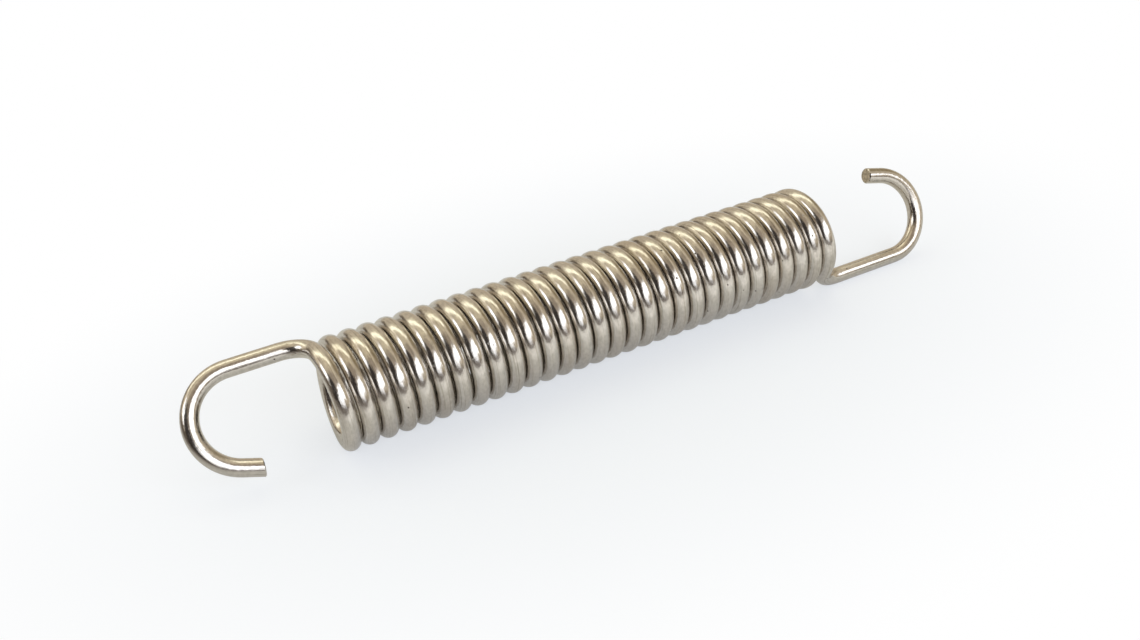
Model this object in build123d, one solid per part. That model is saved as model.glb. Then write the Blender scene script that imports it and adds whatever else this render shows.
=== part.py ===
from build123d import *

import os
from math import acos, atan2, ceil, cos, degrees, hypot, pi, radians, sin, tan

# Extension spring bent from one round wire: a right-handed, nearly close-wound coil that ends
# in a full-size hook on a straight leg at each end. Sizes are in millimetres.
# The origin is on the coil's axis, midway between the outer ends of the two hooks.
# +X runs along the coil, from the short-legged hook to the long-legged one, and +Z is up.
# The spring is turned so that a level surface under it touches its coil and its long leg.
# An angle around the axis is in degrees: 0 at the top, 90 at the front (-Y), 180 underneath.

WIRE_DIAMETER = 2.5
COIL_OUTER_DIAMETER = 16.0
TURN_GAP = 0.2
TURN_COUNT = 29.36
BEND_RADIUS = 4.15
SHORT_LEG_LENGTH = 7.0
LONG_LEG_LENGTH = 11.9
HOOK_RADIUS = 6.65
SHORT_LEG_HOOK_ANGLE = 161.5
LONG_LEG_HOOK_ANGLE = 166.5
HOOK_TAIL_LENGTH = 2.8
# The short-legged hook's end is sheared at a slant, which leaves its outer side the longer.
SHORT_LEG_HOOK_SLANT = 13.0
END_CHAMFER = 0.15

AXIS = Vector(1, 0, 0)

coil_radius = (COIL_OUTER_DIAMETER - WIRE_DIAMETER) / 2
pitch = WIRE_DIAMETER + TURN_GAP
coil_length = pitch * TURN_COUNT

# A bend takes the wire from the coil's slightly sloping direction to one along the axis. It
# leaves the coil on a tangent, so the leg lies further from the axis than the coil's wire.
bend_angle = degrees(acos(pitch / hypot(2 * pi * coil_radius, pitch)))
leg_offset = BEND_RADIUS * (1 - cos(radians(bend_angle)))
leg_distance = hypot(coil_radius, leg_offset)
leg_lead = degrees(atan2(leg_offset, coil_radius))

# The long leg touches the surface under the coil, which fixes how the whole spring is turned.
long_leg_angle = 180 - degrees(acos(coil_radius / leg_distance))
coil_end_angle = long_leg_angle - leg_lead
coil_start_angle = coil_end_angle - 360 * TURN_COUNT

# Along the axis, from the coil's first point to the outer end of each hook.
bend_length = BEND_RADIUS * sin(radians(bend_angle))
hook_reach = HOOK_RADIUS + WIRE_DIAMETER / 2
short_end = -(bend_length + SHORT_LEG_LENGTH + hook_reach)
long_end = coil_length + bend_length + LONG_LEG_LENGTH + hook_reach
coil_start_x = -(short_end + long_end) / 2


def radial(angle):
    """Unit vector that points away from the axis at an angle around it."""
    return Vector(0, -sin(radians(angle)), cos(radians(angle)))


def arc_from(start, direction, toward, radius, angle):
    """Arc that leaves start along direction and curls toward another direction."""
    side = (toward - direction * toward.dot(direction)).normalized()

    def point(turned):
        along = direction * (radius * sin(radians(turned)))
        return start + along + side * (radius * (1 - cos(radians(turned))))

    return Edge.make_three_point_arc(start, point(angle / 2), point(angle))


def straight_from(edge, length):
    """Straight run that carries on from the end of an edge."""
    return Edge.make_line(edge @ 1, edge @ 1 + (edge % 1) * length)


def coil_edges():
    """Right-handed helix of the coil's centre line, as a chain of edges of about a turn each."""
    edge_count = ceil(TURN_COUNT)
    edge_length = coil_length / edge_count
    edges = []
    for index in range(edge_count):
        angle = coil_start_angle + 360 * TURN_COUNT * index / edge_count
        base = Plane(
            (coil_start_x + edge_length * index, 0, 0), x_dir=radial(angle), z_dir=AXIS
        )
        turn = Edge.make_helix(pitch, edge_length, coil_radius)
        edges.append(turn.moved(base.location))
    return edges


def end_edges(start, direction, outward, leg_length, hook_angle, tail_length):
    """Bend, leg, hook and tail that carry the wire on from one end of the coil."""
    bend = arc_from(start, direction, outward, BEND_RADIUS, bend_angle)
    leg = straight_from(bend, leg_length)
    hook_start = leg @ 1
    inward = Vector(0, -hook_start.Y, -hook_start.Z)
    hook = arc_from(hook_start, outward, inward, HOOK_RADIUS, hook_angle)
    tail = straight_from(hook, tail_length)
    return [bend, leg, hook, tail]


def slanted_shear(hook, tail):
    """Block that takes off the end of a tail at a slant, halfway through the wire at the tail's
    nominal length."""
    along = tail % 1
    inward = (hook.arc_center - hook @ 1).normalized()
    slant = radians(SHORT_LEG_HOOK_SLANT)
    middle = tail @ 0 + along * HOOK_TAIL_LENGTH
    cut = Plane(middle, z_dir=along * cos(slant) + inward * sin(slant))
    return cut * Pos(0, 0, WIRE_DIAMETER / 2) * Cylinder(WIRE_DIAMETER, WIRE_DIAMETER)


def spring_solid():
    """The wire's round section swept along its whole centre line, with its cut ends eased."""
    coil = coil_edges()
    first_turn, last_turn = coil[0], coil[-1]
    spare = WIRE_DIAMETER * tan(radians(SHORT_LEG_HOOK_SLANT))
    short_end_edges = end_edges(
        first_turn @ 0,
        -(first_turn % 0),
        -AXIS,
        SHORT_LEG_LENGTH,
        SHORT_LEG_HOOK_ANGLE,
        HOOK_TAIL_LENGTH + spare,
    )
    long_end_edges = end_edges(
        last_turn @ 1,
        last_turn % 1,
        AXIS,
        LONG_LEG_LENGTH,
        LONG_LEG_HOOK_ANGLE,
        HOOK_TAIL_LENGTH,
    )
    centre_line = Wire([*reversed(short_end_edges), *coil, *long_end_edges])
    wire_tip = long_end_edges[-1]
    section = Plane(wire_tip @ 1, z_dir=wire_tip % 1) * Circle(WIRE_DIAMETER / 2)
    wire = sweep(section, path=centre_line) - slanted_shear(*short_end_edges[-2:])
    cut_faces = wire.faces().filter_by(GeomType.PLANE)
    return chamfer(cut_faces.edges(), END_CHAMFER)


os.makedirs("parts", exist_ok=True)
extension_spring = spring_solid()
export_step(extension_spring, "parts/extension_spring.step")
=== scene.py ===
import math

import bmesh
import bpy
from bpy.props import (
    FloatProperty,
    FloatVectorProperty,
    IntProperty,
    PointerProperty,
)
from mathutils import Matrix, Vector


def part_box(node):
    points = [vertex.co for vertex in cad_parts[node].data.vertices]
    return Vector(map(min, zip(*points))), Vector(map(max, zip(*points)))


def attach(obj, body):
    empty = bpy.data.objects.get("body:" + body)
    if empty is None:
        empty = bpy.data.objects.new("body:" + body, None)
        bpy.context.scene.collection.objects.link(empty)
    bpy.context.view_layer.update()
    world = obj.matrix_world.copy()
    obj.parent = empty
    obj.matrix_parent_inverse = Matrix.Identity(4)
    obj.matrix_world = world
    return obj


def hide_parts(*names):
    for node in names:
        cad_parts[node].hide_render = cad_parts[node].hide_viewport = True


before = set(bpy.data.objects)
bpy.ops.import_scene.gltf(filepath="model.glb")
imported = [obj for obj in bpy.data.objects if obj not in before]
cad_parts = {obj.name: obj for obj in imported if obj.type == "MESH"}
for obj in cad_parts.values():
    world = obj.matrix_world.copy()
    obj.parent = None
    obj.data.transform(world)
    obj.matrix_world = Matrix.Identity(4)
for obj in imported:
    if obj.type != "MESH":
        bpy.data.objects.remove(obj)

bl_info = {
    "name": "Extension Spring",
    "version": (1, 0, 0),
    "blender": (4, 5, 0),
    "location": "3D View > Sidebar > Spring",
    "description": "Builds the bright steel wire of an extension spring and the stage it lies on",
    "category": "Add Mesh",
}

CAD_NODE = "extension_spring"
MM = 0.001
CAD_LOW, CAD_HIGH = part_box(CAD_NODE)
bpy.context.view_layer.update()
AXIS = Vector((1, 0, 0))
STRAIGHTENED = "straightened"

# Spacing of the centre line's points: on a bend in the coil's own steps, and on a leg and on a
# hook's tail in wire diameters.
BEND_STEP = 1.5
LEG_STEP = 0.5
TAIL_STEP = 0.25

# How wide and long each kind of mark on the wire is, and how deep the relief of some is.
GRAIN_SIZE = (0.2 * MM, 2.4 * MM)
SCORE_SIZE = (0.12 * MM, 14.0 * MM)
SPECKLE_SIZE = (0.36 * MM, 0.5 * MM)
MOTTLE_SIZE = (1.6 * MM, 5.0 * MM)
CLOUD_SIZE = (5.0 * MM, 22.0 * MM)
GRAIN_DEPTH = 0.008 * MM
SCORE_DEPTH = 0.006 * MM
SPECKLE_DEPTH = 0.02 * MM
MOTTLE_DEPTH = 0.008 * MM

# Where each mark starts and is full in its noise, and its share at full.
SATIN = (0.6, 0.3, 0.7)
CLOUDED_FILM = (0.45, 0.75, 0.25)
MOTTLED_FILM = (0.5, 0.8, 0.2)
SCORED = (0.55, 0.75, 0.6)
BRIGHTENED = (0.45, 0.75, 0.25)
SCORE_COLOUR = (0.27, 0.23, 0.16)

# Satin and bright metal, as factors on the steel's colour.
SATIN_SHADE = 0.85
# Bright metal also colours the painted light on the turns' flanks and inside.
BRIGHT_SHADE = 1.25

# Roughness of the smoothest wire, and what each mark adds to it.
WIRE_ROUGHNESS = 0.10
MOTTLE_ROUGHNESS = 0.08
SPECKLE_ROUGHNESS = 0.08
PIT_ROUGHNESS = 0.3

# Pits: one in a cell of this size at most, the radii of a pit's rim and floor in cells, and the
# range of a cell's own random number, from 0 to 1, over which it comes to hold a pit.
PIT_CELL = 1.5 * MM
PIT_RIM = 0.11
PIT_FLOOR = 0.05
PIT_CHOICE = (0.60, 0.62)
PIT_DEPTH = 0.04 * MM
PIT_SHARE = 0.85
PIT_COLOUR = (0.08, 0.065, 0.05)

# Distances outside the coil's centre line at which the painted light on the turns' flanks and
# inside starts and is full, how far along the coil's ends it fades in, and its share at full.
FLANK_LIGHT_START = 0.6 * MM
FLANK_LIGHT_FULL = -0.2 * MM
FLANK_LIGHT_FADE = 3.0 * MM
FLANK_LIGHT_SHARE = 0.6

# Coarse tears and fine crumbs of a sheared face.
TEAR_SIZE = 0.35 * MM
TEAR_DEPTH = 0.07 * MM
TEAR_PALES = (0.35, 0.65)
TEAR_SHADE = 0.6
CRUMB_SIZE = 0.12 * MM
CRUMB_DEPTH = 0.014 * MM
CUT_ROUGHNESS = 0.34
CRUMB_ROUGHNESS = 0.25

WHITE = (1.0, 1.0, 1.0)

# How much a direction has to face a patch's middle for the patch to start and to be full.
PATCH_FACING = (0.0, 0.05)

# The room's ceiling, by how far up a direction points, and its shaded part over the front
# window, by how close a direction is to that part's middle.
CEILING = (0.80, 0.70, 0.50)
CEILING_STARTS = (0.7, 1.0)
CEILING_SHADE = (0.42, 0.35, 0.27)
CEILING_SHADE_STARTS = (0.74, 0.88)
CEILING_SHADE_MIDDLE = (-170, 50)

# What stands in the room, each on top of those before it. In degrees: its middle's azimuth and
# elevation, half its width, half its height and its turn. Then its edge's softness and its
# colour, where WINDOW stands for the daylight of the stage settings.
WINDOW = None
ROOM_PATCHES = {
    "skirting in front": ((-170, 3), 60, 6, 0, 0.1, (0.24, 0.21, 0.19)),
    "skirting on the left": ((-70, 5), 55, 12, 0, 0.14, (0.14, 0.11, 0.08)),
    "dark doorway": ((-123, 16), 24, 38, 0, 0.22, (0.05, 0.042, 0.038)),
    "brown cupboard": ((70, 30), 18, 16, 0, 0.4, (0.33, 0.26, 0.15)),
    "sunlit wall": ((-55, 25), 16, 16, 0, 0.4, (0.88, 0.76, 0.57)),
    "wall under the lamp": ((25, 48), 28, 7, 8, 0.3, (0.86, 0.78, 0.57)),
    "long lamp": ((-7, 55.9), 39.5, 8, 36, 0.14, (1.95, 1.87, 1.46)),
    "left window": ((-80.5, 32), 12.5, 10.5, 0, 0.12, WINDOW),
    "front window, hazy foot": ((-168, 16), 24, 8.5, 0, 0.14, (1.36, 1.38, 1.42)),
    "front window, middle": ((-190.5, 29), 34.5, 8.5, 0, 0.12, WINDOW),
    "front window, head": ((-197, 40), 23.5, 7.5, 0, 0.12, WINDOW),
}

# Half the floor's width, and how much a distance along the spring and one across it count for
# in the distance from the spring's middle.
FLOOR_HALF_WIDTH = 3.0
FLOOR_SQUASH = (0.6, 1, 0)

# Distances over which the floor whitens, the painted reflection near the spring ends, the painted
# glow in front of it comes in, and the painted dark reflection on the left comes in. The last two
# are measured along an azimuth.
FLOOR_WHITENS = (0.015, 0.07)
NEAR_REFLECTION_ENDS = (0.15, 0.4)
FRONT_GLOW_STARTS = (0.016, 0.034)
DARK_REFLECTION_STARTS = (0.04, 0.09)
FRONT_AZIMUTH = 180
DARK_REFLECTION_AZIMUTH = -120

# Share of plain colour, which takes no shadow, near the spring and what is added to it further
# away. Then the same for the painted reflections that the wire mirrors, near the spring and past it.
PLAIN_NEAR = 0.6
PLAIN_ADDED = 0.4
MIRRORED_NEAR = 0.3
MIRRORED_ADDED = 0.6

# Colours of the floor as seen near the spring, and of the painted reflections that the wire
# mirrors in its place: near the spring, a painted glow in front, further away, and dark on the left.
FLOOR_NEAR = (0.96, 0.99, 1.04)
PAINTED_NEAR_REFLECTION = (0.50, 0.46, 0.40)
PAINTED_FRONT_GLOW = (1.6, 1.55, 1.5)
PAINTED_FAR_REFLECTION = (0.55, 0.50, 0.44)
PAINTED_DARK_REFLECTION = (0.15, 0.12, 0.10)

CAMERA_PLACE = Vector((-71.32, -131.74, 95.31)) * MM
CAMERA_YAW = math.radians(26.753)
CAMERA_PITCH = math.radians(33.109)
CAMERA_ROLL = math.radians(3.445)
CAMERA_LENS = 38.054
CAMERA_SENSOR = 36.0
CAMERA_CLIP_START = 0.01


# ---------------------------------------------------------------- settings


class SpringWireSettings(bpy.types.PropertyGroup):
    """Sizes that the wire is coiled and bent to."""

    wire_diameter: FloatProperty(
        name="Wire Diameter",
        description="Diameter of the round wire",
        default=2.5 * MM,
        unit="LENGTH",
        subtype="DISTANCE",
        precision=5,
    )
    turn_gap: FloatProperty(
        name="Turn Gap",
        description="Clear space between neighbouring turns of the coil",
        default=0.2 * MM,
        unit="LENGTH",
        subtype="DISTANCE",
        precision=5,
    )
    turn_count: FloatProperty(
        name="Turns",
        description="Turns of the coil between the two bends",
        default=29.36,
        min=1.0,
    )
    bend_radius: FloatProperty(
        name="Bend Radius",
        description="Radius of the bend from the coil to a leg, at the wire's centre",
        default=4.15 * MM,
        unit="LENGTH",
        subtype="DISTANCE",
        precision=5,
    )
    short_leg: FloatProperty(
        name="Short Leg",
        description="Straight length of the leg at the -X end",
        default=7.0 * MM,
        unit="LENGTH",
        subtype="DISTANCE",
        precision=5,
    )
    long_leg: FloatProperty(
        name="Long Leg",
        description="Straight length of the leg at the +X end",
        default=11.9 * MM,
        unit="LENGTH",
        subtype="DISTANCE",
        precision=5,
    )
    hook_radius: FloatProperty(
        name="Hook Radius",
        description="Radius of each hook at the wire's centre",
        default=6.65 * MM,
        unit="LENGTH",
        subtype="DISTANCE",
        precision=5,
    )
    short_leg_hook: FloatProperty(
        name="Short Leg Hook",
        description="How far the hook on the short leg curls round",
        default=math.radians(161.5),
        unit="ROTATION",
        subtype="ANGLE",
    )
    long_leg_hook: FloatProperty(
        name="Long Leg Hook",
        description="How far the hook on the long leg curls round",
        default=math.radians(166.5),
        unit="ROTATION",
        subtype="ANGLE",
    )
    hook_tail: FloatProperty(
        name="Hook Tail",
        description="Straight length at the end of each hook, up to the cut face",
        default=2.8 * MM,
        unit="LENGTH",
        subtype="DISTANCE",
        precision=5,
    )
    short_leg_slant: FloatProperty(
        name="Short Leg Hook Slant",
        description="Slant of the short-legged hook's cut face, which leaves its outer side longer",
        default=math.radians(13.0),
        unit="ROTATION",
        subtype="ANGLE",
    )
    cut_bevel: FloatProperty(
        name="Cut Bevel",
        description="Width of the worn edge around each cut face",
        default=0.15 * MM,
        unit="LENGTH",
        subtype="DISTANCE",
        precision=5,
    )
    steel_colour: FloatVectorProperty(
        name="Steel",
        description="Colour of the bright steel",
        default=(0.67, 0.64, 0.605),
        size=3,
        min=0.0,
        max=1.0,
        subtype="COLOR",
    )
    tint_colour: FloatVectorProperty(
        name="Drawing Tint",
        description="Straw to brown film that wire drawing leaves in patches",
        default=(0.44, 0.34, 0.23),
        size=3,
        min=0.0,
        max=1.0,
        subtype="COLOR",
    )
    cut_colour: FloatVectorProperty(
        name="Cut Faces",
        description="Colour of the sheared faces at the two ends of the wire",
        default=(0.64, 0.55, 0.42),
        size=3,
        min=0.0,
        max=1.0,
        subtype="COLOR",
    )
    turn_steps: IntProperty(
        name="Steps per Turn",
        description="Cross sections of the wire in one turn of the coil",
        default=84,
        min=12,
    )
    section_sides: IntProperty(
        name="Section Sides",
        description="Sides of the wire's round section",
        default=32,
        min=8,
    )


class SpringStageSettings(bpy.types.PropertyGroup):
    """Floor and light."""

    floor_colour: FloatVectorProperty(
        name="Floor",
        description="Colour of the pale floor",
        default=(0.89, 0.945, 1.0),
        size=3,
        min=0.0,
        max=1.0,
        subtype="COLOR",
    )
    window_colour: FloatVectorProperty(
        name="Windows",
        description="Colour of the daylight from the two windows",
        default=(0.93, 0.96, 1.0),
        size=3,
        min=0.0,
        max=1.0,
        subtype="COLOR",
    )
    window_strength: FloatProperty(
        name="Window Strength",
        description="Brightness of the windows, where 1 is white",
        default=2.8,
        min=0.0,
    )
    room_colour: FloatVectorProperty(
        name="Room",
        description="Colour of the warm room around the spring",
        default=(0.64, 0.555, 0.42),
        size=3,
        min=0.0,
        max=1.0,
        subtype="COLOR",
    )


# ---------------------------------------------------------------- centre line


def radial(angle):
    """Unit vector away from the coil's axis; 0 is the top and a quarter turn is the front."""
    return Vector((0, -math.sin(angle), math.cos(angle)))


def around(angle):
    """Unit vector round the coil's axis, the way the angle grows."""
    return Vector((0, -math.cos(angle), -math.sin(angle)))


def arc_points(start, direction, toward, radius, angle, step):
    """Points of an arc that leaves start along direction, and its direction at the end."""
    side = (toward - direction * toward.dot(direction)).normalized()
    count = max(2, round(angle / step))
    points = []
    for index in range(1, count + 1):
        turned = angle * index / count
        along = direction * (radius * math.sin(turned))
        points.append(start + along + side * (radius * (1 - math.cos(turned))))
    return points, direction * math.cos(angle) + side * math.sin(angle)


def straight_points(start, direction, length, step):
    """Points of a straight run after start."""
    count = max(1, round(length / step))
    return [start + direction * (length * index / count) for index in range(1, count + 1)]


def centre_line(sizes):
    """Points of the wire's centre line, from the short-legged hook's end to the other one's,
    and the places along X where the coil starts and ends."""
    pitch = sizes.wire_diameter + sizes.turn_gap
    coil_radius = (CAD_HIGH.y - CAD_LOW.y - sizes.wire_diameter) / 2
    coil_length = pitch * sizes.turn_count
    turn = 2 * math.pi
    step = turn / sizes.turn_steps
    bend = math.acos(pitch / math.hypot(turn * coil_radius, pitch))
    offset = sizes.bend_radius * (1 - math.cos(bend))
    leg_distance = math.hypot(coil_radius, offset)
    lead = math.atan2(offset, coil_radius)
    end_angle = math.pi - math.acos(coil_radius / leg_distance) - lead
    start_angle = end_angle - turn * sizes.turn_count
    reach = sizes.bend_radius * math.sin(bend) + sizes.hook_radius + sizes.wire_diameter / 2
    start_x = (sizes.short_leg - sizes.long_leg - coil_length) / 2

    def coil_point(angle):
        x = start_x + pitch * (angle - start_angle) / turn
        return AXIS * x + radial(angle) * coil_radius

    def coil_direction(angle):
        return (around(angle) * turn * coil_radius + AXIS * pitch).normalized()

    def end_points(angle, way, leg, hook):
        leg_step = sizes.wire_diameter * LEG_STEP
        tail_step = sizes.wire_diameter * TAIL_STEP
        start = coil_point(angle)
        points, direction = arc_points(
            start, coil_direction(angle) * way, AXIS * way, sizes.bend_radius, bend, step * BEND_STEP
        )
        points += straight_points(points[-1], direction, leg, leg_step)
        hook_start = points[-1]
        inward = Vector((0, -hook_start.y, -hook_start.z))
        arc, direction = arc_points(
            hook_start, AXIS * way, inward, sizes.hook_radius, hook, step
        )
        points += arc
        tail = sizes.hook_tail - sizes.cut_bevel
        return points + straight_points(points[-1], direction, tail, tail_step)

    count = math.ceil(sizes.turn_count * sizes.turn_steps)
    coil = [
        coil_point(start_angle + turn * sizes.turn_count * index / count)
        for index in range(count + 1)
    ]
    short_end = end_points(start_angle, -1, sizes.short_leg, sizes.short_leg_hook)
    long_end = end_points(end_angle, 1, sizes.long_leg, sizes.long_leg_hook)
    return short_end[::-1] + coil + long_end, start_x, start_x + coil_length


def curve_object(name, points):
    """A curve of straight runs through the points."""
    curve = bpy.data.curves.new(name, "CURVE")
    curve.dimensions = "3D"
    spline = curve.splines.new("POLY")
    spline.points.add(len(points) - 1)
    for target, point in zip(spline.points, points):
        target.co = (*point, 1.0)
    made = bpy.data.objects.new(name, curve)
    bpy.context.scene.collection.objects.link(made)
    return made


# ---------------------------------------------------------------- geometry nodes


def wire_tree(material):
    """Geometry Nodes tree that sweeps a round section along a curve. It keeps the attribute
    straightened: each point's place, in metres, on the same wire pulled straight along Z."""
    tree = bpy.data.node_groups.new("Round Wire", "GeometryNodeTree")
    interface = tree.interface
    interface.new_socket("Centre Line", in_out="INPUT", socket_type="NodeSocketGeometry")
    interface.new_socket("Wire Diameter", in_out="INPUT", socket_type="NodeSocketFloat")
    interface.new_socket("Section Sides", in_out="INPUT", socket_type="NodeSocketInt")
    interface.new_socket("Wire", in_out="OUTPUT", socket_type="NodeSocketGeometry")

    def add(kind, settings=None, **links):
        """Adds a node, sets it, and links its inputs to other nodes' outputs."""
        node = tree.nodes.new(kind)
        for key, value in (settings or {}).items():
            setattr(node, key, value)
        for key, output in links.items():
            tree.links.new(output, node.inputs[key.replace("_", " ")])
        return node

    given = add("NodeGroupInput")
    radius = add("ShaderNodeMath", {"operation": "MULTIPLY"}, Value=given.outputs["Wire Diameter"])
    radius.inputs[1].default_value = 0.5
    section = add(
        "GeometryNodeCurvePrimitiveCircle",
        {"mode": "RADIUS"},
        Resolution=given.outputs["Section Sides"],
        Radius=radius.outputs[0],
    )
    keep_length = add("GeometryNodeCaptureAttribute", {"domain": "POINT"})
    keep_length.capture_items.new("FLOAT", "Length")
    keep_place = add("GeometryNodeCaptureAttribute", {"domain": "POINT"})
    keep_place.capture_items.new("VECTOR", "Place")
    along = add("GeometryNodeSplineParameter")
    in_section = add("GeometryNodeInputPosition")
    tree.links.new(given.outputs["Centre Line"], keep_length.inputs["Geometry"])
    tree.links.new(along.outputs["Length"], keep_length.inputs["Length"])
    tree.links.new(section.outputs["Curve"], keep_place.inputs["Geometry"])
    tree.links.new(in_section.outputs["Position"], keep_place.inputs["Place"])
    sweep = add(
        "GeometryNodeCurveToMesh",
        Curve=keep_length.outputs["Geometry"],
        Profile_Curve=keep_place.outputs["Geometry"],
    )
    sweep.inputs["Fill Caps"].default_value = True
    split = add("ShaderNodeSeparateXYZ", Vector=keep_place.outputs["Place"])
    straightened = add(
        "ShaderNodeCombineXYZ",
        X=split.outputs["X"],
        Y=split.outputs["Y"],
        Z=keep_length.outputs["Length"],
    )
    store = add(
        "GeometryNodeStoreNamedAttribute",
        {"data_type": "FLOAT_VECTOR", "domain": "POINT"},
        Geometry=sweep.outputs["Mesh"],
        Value=straightened.outputs["Vector"],
    )
    store.inputs["Name"].default_value = STRAIGHTENED
    realize = add("GeometryNodeRealizeInstances", Geometry=store.outputs["Geometry"])
    paint = add("GeometryNodeSetMaterial", Geometry=realize.outputs["Geometry"])
    paint.inputs["Material"].default_value = material
    add("NodeGroupOutput", Wire=paint.outputs["Geometry"])
    return tree


def set_input(modifier, name, value):
    """Sets a Geometry Nodes modifier's input by its socket's identifier."""
    for item in modifier.node_group.interface.items_tree:
        if item.item_type == "SOCKET" and item.in_out == "INPUT" and item.name == name:
            modifier[item.identifier] = value
            return
    raise RuntimeError(f"the tree has no input named {name}")


def plain_mesh(made, name):
    """The evaluated object as a plain mesh object with no modifier, at the origin."""
    evaluated = made.evaluated_get(bpy.context.evaluated_depsgraph_get())
    mesh = bpy.data.meshes.new_from_object(evaluated)
    piece = bpy.data.objects.new(name, mesh)
    bpy.context.scene.collection.objects.link(piece)
    bpy.data.objects.remove(made)
    return piece


def slant_cap(cap, slant):
    """Shears a flat cap at a slant about its middle, with the side away from the axis longer."""
    middle = cap.calc_center_median()
    along = cap.normal.copy()
    outward = Vector((0, middle.y, middle.z))
    outward = (outward - along * outward.dot(along)).normalized()
    for vertex in cap.verts:
        vertex.co += along * ((vertex.co - middle).dot(outward) * math.tan(slant))
    cap.normal_update()


def finish_cut_faces(mesh, bevel, slant):
    """Slants the short-legged hook's flat cap, and turns each cap into a cut face with a worn
    bevel, out to the wire's full length. The cut faces take the mesh's second material."""
    work = bmesh.new()
    work.from_mesh(mesh)
    work.normal_update()
    caps = [face for face in work.faces if len(face.verts) > 4]
    if len(caps) != 2:
        raise RuntimeError(f"the wire has {len(caps)} cut faces, and it should have two")
    for face in work.faces:
        face.smooth = True
    for cap in caps:
        if cap.calc_center_median().x < 0:
            slant_cap(cap, slant)
        bmesh.ops.inset_region(work, faces=[cap], thickness=bevel, depth=bevel)
        cap.smooth = False
        cap.material_index = 1
    work.to_mesh(mesh)
    work.free()


# ---------------------------------------------------------------- shader tools


class Socket:
    """A shader value that arithmetic works on: an expression adds the Math nodes it needs."""

    def __init__(self, tree, link):
        self.tree = tree
        self.link = link

    def _math(self, operation, *values):
        node = self.tree.nodes.new("ShaderNodeMath")
        node.operation = operation
        for slot, value in zip(node.inputs, values):
            if isinstance(value, Socket):
                self.tree.links.new(value.link, slot)
            else:
                slot.default_value = value
        return Socket(self.tree, node.outputs[0])

    def __add__(self, other):
        return self._math("ADD", self, other)

    def __radd__(self, other):
        return self._math("ADD", other, self)

    def __sub__(self, other):
        return self._math("SUBTRACT", self, other)

    def __rsub__(self, other):
        return self._math("SUBTRACT", other, self)

    def __mul__(self, other):
        return self._math("MULTIPLY", self, other)

    def __rmul__(self, other):
        return self._math("MULTIPLY", other, self)

    def __truediv__(self, other):
        return self._math("DIVIDE", self, other)


class Shader:
    """The node tree of a material or a world, with one method that adds any node."""

    def __init__(self, owner):
        owner.use_nodes = True
        self.owner = owner
        self.tree = owner.node_tree
        self.tree.nodes.clear()

    def add(self, kind, settings=None, output=0, **values):
        """Adds a node and gives its output. Its settings are set first, then its inputs, to a
        value or another Socket. An input's name has underscores for its spaces, or is its
        number after an underscore."""
        node = self.tree.nodes.new(kind)
        for key, value in (settings or {}).items():
            setattr(node, key, value)
        for key, value in values.items():
            slot = node.inputs[int(key[1:]) if key[0] == "_" else key.replace("_", " ")]
            if isinstance(value, Socket):
                self.tree.links.new(value.link, slot)
            else:
                slot.default_value = value
        return Socket(self.tree, node.outputs[output])

    def mix(self, share, first, second):
        """Colour that goes from the first to the second as the share goes from 0 to 1."""
        colours = [c if isinstance(c, Socket) else (*c, 1.0) for c in (first, second)]
        return self.add(
            "ShaderNodeMix", {"data_type": "RGBA"}, 2, _0=share, _6=colours[0], _7=colours[1]
        )

    def ramp(self, value, low, high):
        """0 where the value is at low, 1 where it is at high, and a smooth step between them."""
        settings = {"interpolation_type": "SMOOTHSTEP"}
        return self.add("ShaderNodeMapRange", settings, Value=value, From_Min=low, From_Max=high)

    def dot(self, vector, fixed):
        """Dot product of a vector socket and a fixed vector."""
        settings = {"operation": "DOT_PRODUCT"}
        return self.add("ShaderNodeVectorMath", settings, 1, _0=vector, _1=tuple(fixed))

    def length(self, vector, scale):
        """Length of a vector socket after each of its parts is scaled."""
        scaled = self.add("ShaderNodeVectorMath", {"operation": "MULTIPLY"}, _0=vector, _1=scale)
        return self.add("ShaderNodeVectorMath", {"operation": "LENGTH"}, 1, _0=scaled)

    def finish(self, surface):
        """Connects the surface and returns the material or world."""
        world = isinstance(self.owner, bpy.types.World)
        end = self.tree.nodes.new("ShaderNodeOutputWorld" if world else "ShaderNodeOutputMaterial")
        self.tree.links.new(surface.link, end.inputs["Surface"])
        return self.owner


def shaded(colour, factor):
    """A colour made darker or paler by a factor."""
    return tuple(min(1.0, value * factor) for value in colour)


# ---------------------------------------------------------------- materials


def noise(shader, place, size, detail=2.0):
    """Noise from 0 to 1 with marks of a width and a length on the straightened wire."""
    across, along = size
    stretched = shader.add(
        "ShaderNodeMapping", Vector=place, Scale=(1 / across, 1 / across, 1 / along)
    )
    return shader.add("ShaderNodeTexNoise", Vector=stretched, Scale=1.0, Detail=detail)


def marks(shader, value, start, full, share):
    """Share of a mark, from 0 where a noise is at start to the share where it is full."""
    return shader.ramp(value, start, full) * share


def painted_flank_light(shader, spot, wire_diameter, coil_low, coil_high):
    """Painted light: 1 on the turns' flanks and inside, by the gaps between turns, and 0 on the
    coil's outside.
    """
    x = shader.dot(spot, AXIS)
    in_coil = shader.ramp(x, coil_low, coil_low + FLANK_LIGHT_FADE)
    in_coil = in_coil * shader.ramp(x, coil_high, coil_high - FLANK_LIGHT_FADE)
    coil_radius = (CAD_HIGH.z - CAD_LOW.z - wire_diameter) / 2
    from_axis = shader.length(spot, (0, 1, 1))
    return shader.ramp(from_axis, coil_radius + FLANK_LIGHT_START, coil_radius + FLANK_LIGHT_FULL) * in_coil


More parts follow.
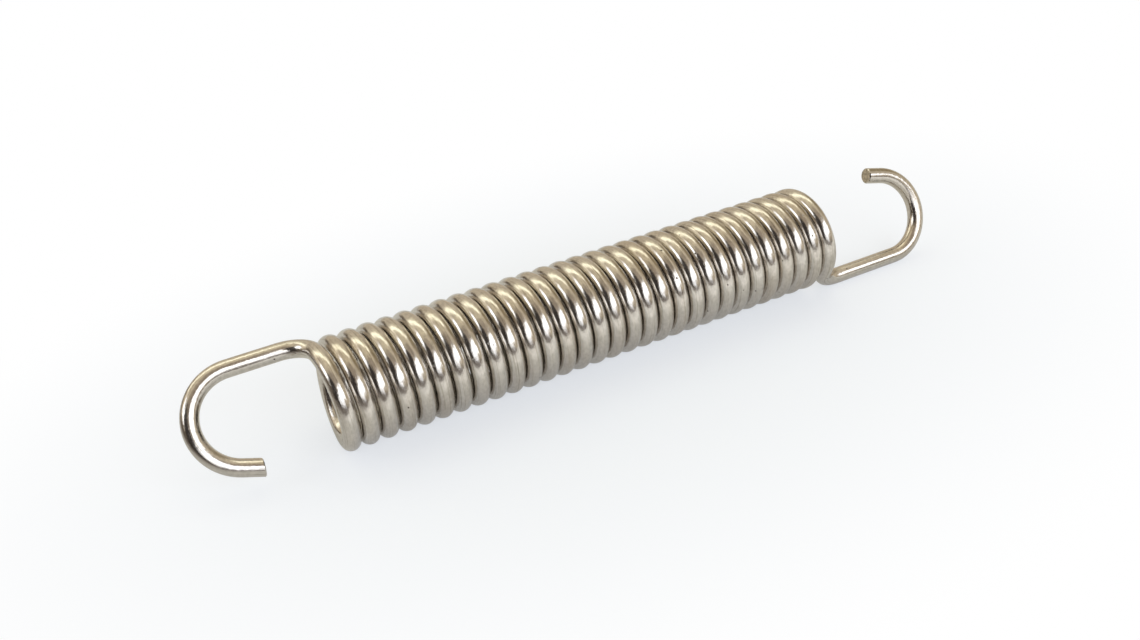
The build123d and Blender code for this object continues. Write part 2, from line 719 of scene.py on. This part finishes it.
def pits(shader, place):
    """1 in the floor of sparse round pits, and 0 outside them."""
    cells = {"feature": "F1"}
    scale = 1 / PIT_CELL
    distance = shader.add("ShaderNodeTexVoronoi", cells, "Distance", Vector=place, Scale=scale)
    number = shader.add("ShaderNodeTexVoronoi", cells, "Color", Vector=place, Scale=scale)
    chosen = shader.ramp(shader.dot(number, (1, 0, 0)), *PIT_CHOICE)
    return shader.ramp(distance, PIT_RIM, PIT_FLOOR) * chosen


def metal(shader, colour, roughness, height):
    """Finishes a material as bare metal with a relief in metres."""
    normal = shader.add("ShaderNodeBump", Height=height, Distance=1.0, Strength=1.0)
    surface = shader.add(
        "ShaderNodeBsdfPrincipled",
        Base_Color=colour,
        Metallic=1.0,
        Roughness=roughness,
        Normal=normal,
    )
    return shader.finish(surface)


def wire_material(sizes, coil_low, coil_high):
    """Bright drawn stainless wire, with the coil between two places along X."""
    shader = Shader(bpy.data.materials.new("bright_drawn_steel"))
    place = shader.add("ShaderNodeAttribute", {"attribute_name": STRAIGHTENED}, "Vector")
    spot = shader.add("ShaderNodeTexCoord", None, "Object")

    grain = noise(shader, place, GRAIN_SIZE)
    scores = noise(shader, place, SCORE_SIZE, 1.0)
    speckle = noise(shader, place, SPECKLE_SIZE, 3.0)
    mottle = noise(shader, place, MOTTLE_SIZE, 3.0)
    cloud = noise(shader, place, CLOUD_SIZE)
    # Painted light on the turns' flanks and inside, by the gaps between turns.
    flank_light = painted_flank_light(shader, spot, sizes.wire_diameter, coil_low, coil_high)
    pit = pits(shader, place)

    # Satin specks, the straw film of wire drawing, dark scores along the wire, and bright metal.
    steel = tuple(sizes.steel_colour)
    satin = marks(shader, speckle, *SATIN)
    colour = shader.mix(satin, steel, shaded(steel, SATIN_SHADE))
    film = marks(shader, cloud, *CLOUDED_FILM) + marks(shader, mottle, *MOTTLED_FILM)
    colour = shader.mix(film, colour, tuple(sizes.tint_colour))
    colour = shader.mix(marks(shader, scores, *SCORED), colour, SCORE_COLOUR)
    # Bright metal in specks, and as painted light on the turns' flanks and inside.
    bright = marks(shader, speckle, *BRIGHTENED) + flank_light * FLANK_LIGHT_SHARE
    colour = shader.mix(bright, colour, shaded(steel, BRIGHT_SHADE))
    colour = shader.mix(pit * PIT_SHARE, colour, PIT_COLOUR)

    roughness = WIRE_ROUGHNESS + mottle * MOTTLE_ROUGHNESS + speckle * SPECKLE_ROUGHNESS
    roughness = roughness + pit * PIT_ROUGHNESS
    height = grain * GRAIN_DEPTH + scores * SCORE_DEPTH + speckle * SPECKLE_DEPTH
    height = height + mottle * MOTTLE_DEPTH - pit * PIT_DEPTH
    return metal(shader, colour, roughness, height)


def cut_material(sizes):
    """Rough face where the wire was sheared off."""
    shader = Shader(bpy.data.materials.new("sheared_steel"))
    spot = shader.add("ShaderNodeTexCoord", None, "Object")
    tear = shader.add("ShaderNodeTexNoise", Vector=spot, Scale=1 / TEAR_SIZE, Detail=3.0)
    crumb = shader.add("ShaderNodeTexNoise", Vector=spot, Scale=1 / CRUMB_SIZE, Detail=2.0)
    pale = tuple(sizes.cut_colour)
    colour = shader.mix(shader.ramp(tear, *TEAR_PALES), shaded(pale, TEAR_SHADE), pale)
    height = tear * TEAR_DEPTH + crumb * CRUMB_DEPTH
    return metal(shader, colour, CUT_ROUGHNESS + crumb * CRUMB_ROUGHNESS, height)


# ---------------------------------------------------------------- stage


def aim(made, place, forward, roll):
    """Puts an object at a place, looking forward, with its right side tilted down by roll."""
    forward = forward.normalized()
    level = forward.cross(Vector((0, 0, 1))).normalized()
    down = forward.cross(level)
    right = level * math.cos(roll) + down * math.sin(roll)
    up = right.cross(forward)
    made.matrix_world = Matrix(
        (
            (right.x, up.x, -forward.x, place.x),
            (right.y, up.y, -forward.y, place.y),
            (right.z, up.z, -forward.z, place.z),
            (0, 0, 0, 1),
        )
    )


def toward(azimuth, elevation):
    """Unit vector at an azimuth, from +Y round to +X, and an elevation above the floor."""
    turn, rise = math.radians(azimuth), math.radians(elevation)
    level = math.cos(rise)
    return Vector((math.sin(turn) * level, math.cos(turn) * level, math.sin(rise)))


def patch(shader, direction, middle, wide, high, turn, soft):
    """1 inside a soft-edged rectangle in the sky and 0 outside it. It is wide and high degrees
    either side of its middle and turned anticlockwise, and its edge is soft tangents wide."""
    ahead = toward(*middle)
    level = ahead.cross(Vector((0, 0, 1))).normalized()
    upright = level.cross(ahead)
    angle = math.radians(turn)
    sideways = level * math.cos(angle) + upright * math.sin(angle)
    upward = upright * math.cos(angle) - level * math.sin(angle)
    depth = shader.dot(direction, ahead)
    inside = shader.ramp(depth, *PATCH_FACING)
    for way, half in ((sideways, wide), (upward, high)):
        offset = shader.dot(direction, way) / depth
        offset = shader.add("ShaderNodeMath", {"operation": "ABSOLUTE"}, _0=offset)
        limit = math.tan(math.radians(half))
        inside = inside * shader.ramp(offset, limit + soft / 2, limit - soft / 2)
    return inside


def studio_world(settings):
    """A warm room with two windows and a long lamp, which light the spring and show in it.
    The camera sees a plain white backdrop instead."""
    shader = Shader(bpy.data.worlds.new("studio"))
    direction = shader.add("ShaderNodeTexCoord", None, "Generated")
    up = shader.dot(direction, (0, 0, 1))
    over_front = shader.dot(direction, toward(*CEILING_SHADE_MIDDLE))
    window = tuple(value * settings.window_strength for value in settings.window_colour)

    ceiling = shader.ramp(up, *CEILING_STARTS)
    colour = shader.mix(ceiling, tuple(settings.room_colour), CEILING)
    colour = shader.mix(shader.ramp(over_front, *CEILING_SHADE_STARTS), colour, CEILING_SHADE)
    for middle, wide, high, turn, soft, shade in ROOM_PATCHES.values():
        inside = patch(shader, direction, middle, wide, high, turn, soft)
        colour = shader.mix(inside, colour, window if shade is WINDOW else shade)
    seen = shader.add("ShaderNodeLightPath", None, "Is Camera Ray")
    colour = shader.mix(seen, colour, WHITE)
    return shader.finish(shader.add("ShaderNodeBackground", Color=colour, Strength=1.0))


def floor_material(colour):
    """Pale matt floor that keeps the spring's shadow, and fades to plain white away from it.
    The wire mirrors painted reflections in its place, with a painted glow in front and a dark one on
    the left."""
    shader = Shader(bpy.data.materials.new("pale_floor"))
    spot = shader.add("ShaderNodeTexCoord", None, "Object")
    away = shader.length(spot, FLOOR_SQUASH)
    whitened = shader.ramp(away, *FLOOR_WHITENS)
    # Masks where the painted reflections change: past the near one, in front and on the left.
    room = shader.ramp(away, *NEAR_REFLECTION_ENDS)
    front = shader.ramp(shader.dot(spot, toward(FRONT_AZIMUTH, 0)), *FRONT_GLOW_STARTS)
    dark_reflection_side = shader.ramp(shader.dot(spot, toward(DARK_REFLECTION_AZIMUTH, 0)), *DARK_REFLECTION_STARTS)
    past_near_reflection = shader.add("ShaderNodeMath", {"operation": "MAXIMUM"}, _0=dark_reflection_side, _1=room)

    seen = shader.add("ShaderNodeLightPath", None, "Is Camera Ray")
    mirrored = shader.add("ShaderNodeLightPath", None, "Is Glossy Ray")
    share = (whitened * PLAIN_ADDED + PLAIN_NEAR) * seen
    share = share + (MIRRORED_NEAR + MIRRORED_ADDED * past_near_reflection) * mirrored

    # Painted reflections that the wire mirrors in the floor's place: near, in front, far and on the
    # left.
    painted_reflection = shader.mix(front, PAINTED_NEAR_REFLECTION, PAINTED_FRONT_GLOW)
    painted_reflection = shader.mix(room, painted_reflection, PAINTED_FAR_REFLECTION)
    painted_reflection = shader.mix(dark_reflection_side, painted_reflection, PAINTED_DARK_REFLECTION)
    plain = shader.mix(whitened, FLOOR_NEAR, WHITE)
    glow = shader.mix(mirrored, plain, painted_reflection)
    matt = shader.add("ShaderNodeBsdfDiffuse", Color=(*colour, 1.0))
    lit = shader.add("ShaderNodeEmission", Color=glow, Strength=1.0)
    return shader.finish(shader.add("ShaderNodeMixShader", _0=share, _1=matt, _2=lit))


def floor_object(colour):
    """Wide flat floor that the spring lies on."""
    mesh = bpy.data.meshes.new("floor")
    half = FLOOR_HALF_WIDTH
    corners = [(-half, -half), (half, -half), (half, half), (-half, half)]
    mesh.from_pydata([(x, y, CAD_LOW.z) for x, y in corners], [], [(0, 1, 2, 3)])
    mesh.materials.append(floor_material(colour))
    floor = bpy.data.objects.new("floor", mesh)
    bpy.context.scene.collection.objects.link(floor)
    return floor


def camera_object():
    """Camera that looks down at the spring from its front left."""
    camera = bpy.data.objects.new("camera", bpy.data.cameras.new("camera"))
    camera.data.lens = CAMERA_LENS
    camera.data.sensor_width = CAMERA_SENSOR
    camera.data.clip_start = CAMERA_CLIP_START
    bpy.context.scene.collection.objects.link(camera)
    level = math.cos(CAMERA_PITCH)
    forward = Vector(
        (math.sin(CAMERA_YAW) * level, math.cos(CAMERA_YAW) * level, -math.sin(CAMERA_PITCH))
    )
    aim(camera, CAMERA_PLACE, forward, CAMERA_ROLL)
    return camera


# ---------------------------------------------------------------- operators


class SPRING_OT_wire(bpy.types.Operator):
    """Builds the whole spring as one wire, swept along its centre line"""

    bl_idname = "spring.wire"
    bl_label = "Build Wire"

    def execute(self, context):
        sizes = context.scene.spring_wire
        points, coil_low, coil_high = centre_line(sizes)
        path = curve_object("wire_path", points)
        modifier = path.modifiers.new("Round Wire", "NODES")
        modifier.node_group = wire_tree(wire_material(sizes, coil_low, coil_high))
        set_input(modifier, "Wire Diameter", sizes.wire_diameter)
        set_input(modifier, "Section Sides", sizes.section_sides)
        wire = plain_mesh(path, "spring_wire")
        wire.data.materials.append(cut_material(sizes))
        finish_cut_faces(wire.data, sizes.cut_bevel, sizes.short_leg_slant)
        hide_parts(CAD_NODE)
        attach(wire, "root")
        return {"FINISHED"}


class SPRING_OT_stage(bpy.types.Operator):
    """Adds the floor, the room's light and the camera"""

    bl_idname = "spring.stage"
    bl_label = "Build Stage"

    def execute(self, context):
        settings = context.scene.spring_stage
        scene = context.scene
        floor = floor_object(settings.floor_colour)
        scene.world = studio_world(settings)
        scene.camera = camera_object()
        scene.view_settings.view_transform = "Standard"
        return {"FINISHED"}


class SPRING_PT_panel(bpy.types.Panel):
    """Spring settings in the sidebar"""

    bl_idname = "SPRING_PT_panel"
    bl_label = "Extension Spring"
    bl_space_type = "VIEW_3D"
    bl_region_type = "UI"
    bl_category = "Spring"

    def draw(self, context):
        for settings in (context.scene.spring_wire, context.scene.spring_stage):
            for name in settings.__annotations__:
                self.layout.prop(settings, name)
        for operator in OPERATORS:
            self.layout.operator(operator.bl_idname)


OPERATORS = (SPRING_OT_wire, SPRING_OT_stage)
CLASSES = (SpringWireSettings, SpringStageSettings, *OPERATORS, SPRING_PT_panel)


def register():
    for item in CLASSES:
        bpy.utils.register_class(item)
    bpy.types.Scene.spring_wire = PointerProperty(type=SpringWireSettings)
    bpy.types.Scene.spring_stage = PointerProperty(type=SpringStageSettings)


def unregister():
    del bpy.types.Scene.spring_stage
    del bpy.types.Scene.spring_wire
    for item in reversed(CLASSES):
        bpy.utils.unregister_class(item)


def main():
    register()
    bpy.ops.spring.wire()
    bpy.ops.spring.stage()


if __name__ == "__main__":
    main()
